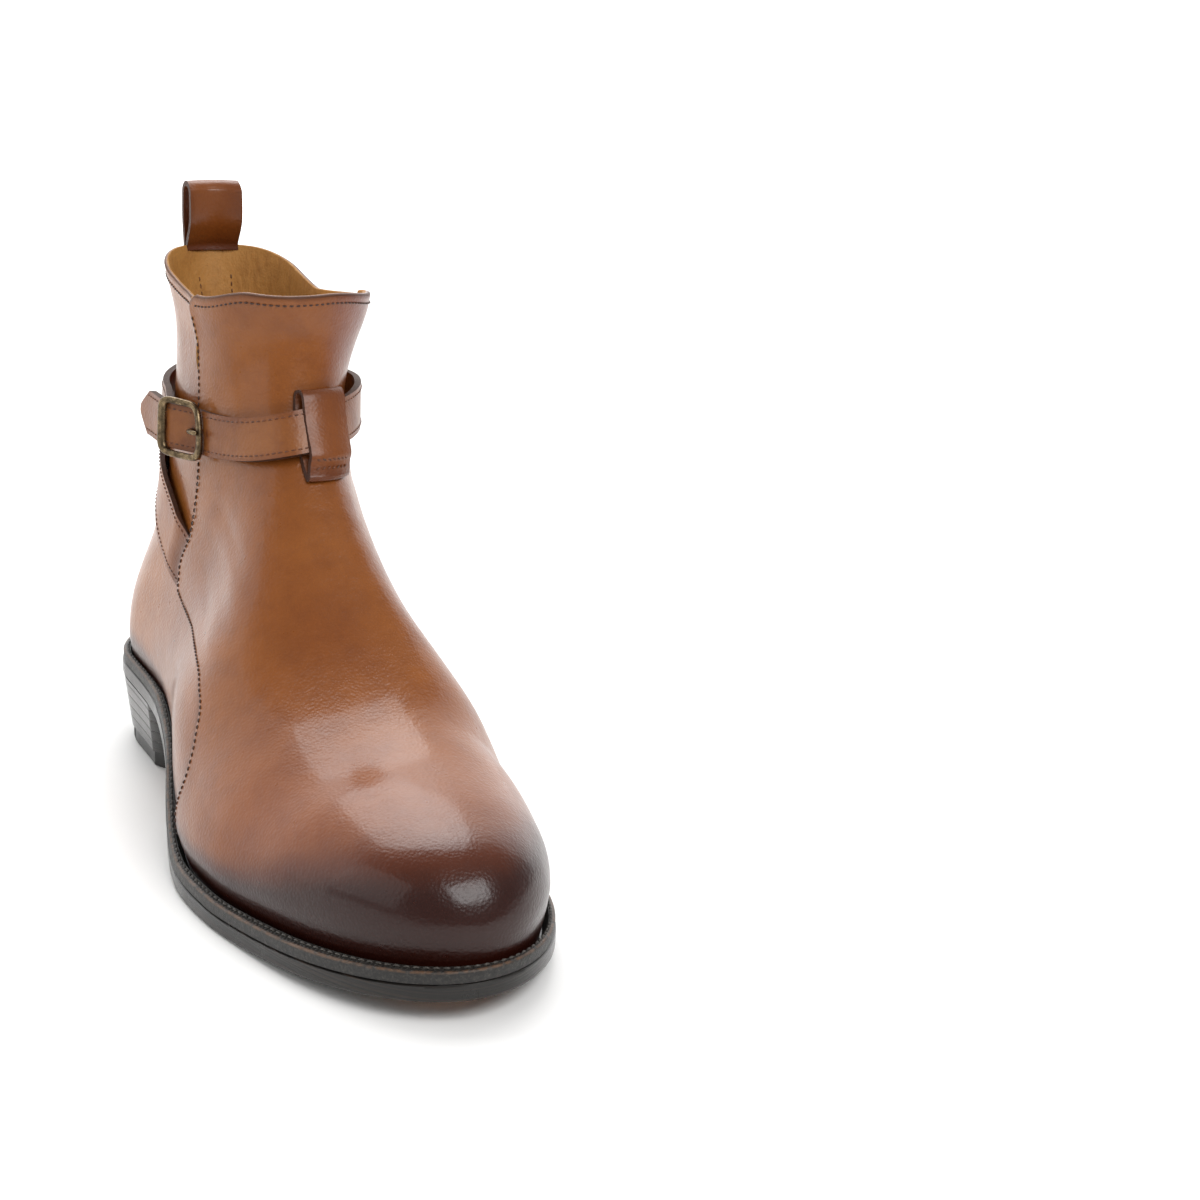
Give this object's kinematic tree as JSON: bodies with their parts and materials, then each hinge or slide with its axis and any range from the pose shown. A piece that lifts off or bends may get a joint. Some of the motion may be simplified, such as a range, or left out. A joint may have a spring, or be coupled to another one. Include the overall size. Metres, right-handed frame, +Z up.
{
  "type": "jodhpur boot",
  "caption": "Right ankle boot on a leather sole with a stacked heel: a plain high vamp, a buckled strap round the ankle through a keeper, a heel sling and a pull loop.",
  "frame": {"origin": "on the floor under the middle of the boot's bounding box", "axes": "+Z up, +Y from the toe to the heel, +X towards the medial side, -X towards the lateral side with the buckle"},
  "size_m": [0.1116, 0.306, 0.2152],
  "materials": {
    "calf": "burnished, polished tan calf",
    "strap_leather": "tan calf, semi-gloss",
    "sole_leather": "natural leather with black edges",
    "insole_leather": "matte",
    "welt": "black, stitched",
    "heel_leather": "black, polished",
    "top_piece_leather": "satin",
    "heel_rubber": "matte",
    "buckle": "antique, dark"
  },
  "bodies": {
    "root": {"outsole": "sole_leather", "welt": "welt", "insole": "insole_leather", "upper": "calf", "heel_stack": "heel_leather", "heel_top_piece": "top_piece_leather", "heel_rubber": "heel_rubber", "ankle_strap": "strap_leather", "buckle_frame": "buckle", "buckle_prong": "buckle", "strap_keeper": "strap_leather", "pull_loop": "strap_leather", "sling": "calf"}
  },
  "joints": []
}
